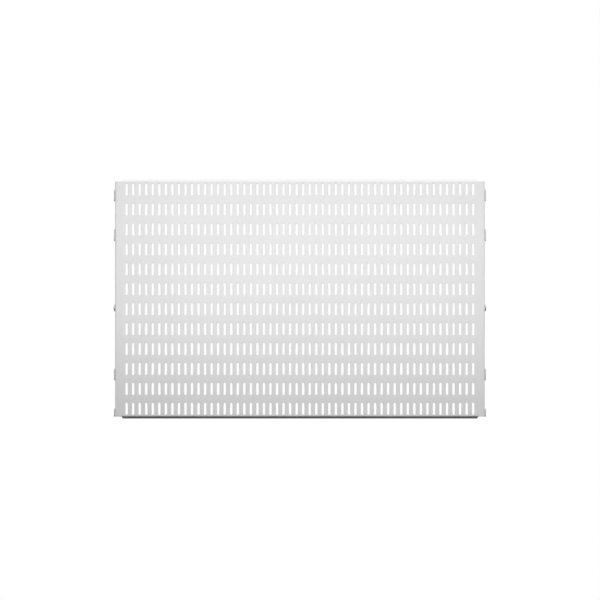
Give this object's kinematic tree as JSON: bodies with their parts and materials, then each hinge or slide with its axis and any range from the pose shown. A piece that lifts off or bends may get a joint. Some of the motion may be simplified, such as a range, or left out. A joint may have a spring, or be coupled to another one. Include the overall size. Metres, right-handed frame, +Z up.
{
  "type": "pegboard",
  "caption": "Slotted sheet-steel tool board with folded edges, hung on wall standards by hooks at its sides, with a turning anti-lift lock on each side.",
  "frame": {"origin": "middle of the hanging plane, where the board's rear returns bear on the wall standards", "axes": "+X to the right of someone facing the board, +Y towards the wall, +Z up"},
  "size_m": [0.6, 0.024, 0.384],
  "materials": {
    "powder_coat": "satin silver-grey powder coat",
    "hook_coat": "satin silver-grey powder coat over stamped edges",
    "rivet_zinc": "bright zinc plate",
    "cam_zinc": "satin zinc plate",
    "stud_zinc": "bright zinc plate",
    "spring_steel": "plain spring steel"
  },
  "bodies": {
    "board": {"perforated_face": "powder_coat", "top_edge_fold": "powder_coat", "top_edge_lip": "powder_coat", "bottom_edge_fold": "powder_coat", "bottom_edge_lip": "powder_coat", "left_side_fold": "powder_coat", "left_rear_return": "powder_coat", "right_side_fold": "powder_coat", "right_rear_return": "powder_coat", "left_hook_1": "hook_coat", "left_hook_2": "hook_coat", "left_hook_3": "hook_coat", "left_hook_4": "hook_coat", "right_hook_1": "hook_coat", "right_hook_2": "hook_coat", "right_hook_3": "hook_coat", "right_hook_4": "hook_coat", "left_hook_1_rivet_upper": "rivet_zinc", "left_hook_1_rivet_lower": "rivet_zinc", "left_hook_2_rivet_upper": "rivet_zinc", "left_hook_2_rivet_lower": "rivet_zinc", "left_hook_3_rivet_upper": "rivet_zinc", "left_hook_3_rivet_lower": "rivet_zinc", "left_hook_4_rivet_upper": "rivet_zinc", "left_hook_4_rivet_lower": "rivet_zinc", "right_hook_1_rivet_upper": "rivet_zinc", "right_hook_1_rivet_lower": "rivet_zinc", "right_hook_2_rivet_upper": "rivet_zinc", "right_hook_2_rivet_lower": "rivet_zinc", "right_hook_3_rivet_upper": "rivet_zinc", "right_hook_3_rivet_lower": "rivet_zinc", "right_hook_4_rivet_upper": "rivet_zinc", "right_hook_4_rivet_lower": "rivet_zinc", "left_lock_washer": "spring_steel", "right_lock_washer": "spring_steel"},
    "left_lock": {"left_lock_cam": "cam_zinc", "left_lock_stud": "stud_zinc"},
    "right_lock": {"right_lock_cam": "cam_zinc", "right_lock_stud": "stud_zinc"}
  },
  "joints": [
    {"name": "left_lock_turn", "type": "hinge", "parent": "board", "child": "left_lock", "pos_m": [-0.2981, -0.0065, -0.014], "axis": [-1, 0, 0], "range_deg": [0, 90]},
    {"name": "right_lock_turn", "type": "hinge", "parent": "board", "child": "right_lock", "pos_m": [0.2981, -0.0065, -0.014], "axis": [-1, 0, 0], "range_deg": [0, 90]}
  ]
}
